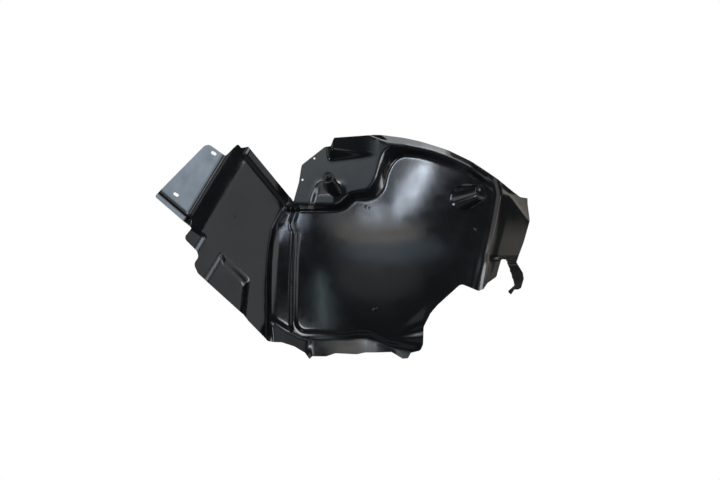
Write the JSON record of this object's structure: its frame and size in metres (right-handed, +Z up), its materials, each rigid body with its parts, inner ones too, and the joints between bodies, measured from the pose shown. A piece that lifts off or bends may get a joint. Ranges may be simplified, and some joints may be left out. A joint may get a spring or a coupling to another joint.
{
  "type": "wheel arch liner",
  "caption": "Moulded front wheel arch liner: domed shell with stepped mounting plate, side wing with slotted tab, hollow bosses and edge flange.",
  "frame": {"origin": "centre of the end hole of boss 1, on the body side", "axes": "+X along the liner from the slotted tab to the hook, +Y from the body side towards the wheel, +Z up"},
  "size_m": [0.8292, 0.206, 0.4928],
  "materials": {
    "liner_plastic": "gloss black moulded plastic"
  },
  "bodies": {
    "root": {"liner": "liner_plastic"}
  },
  "joints": []
}
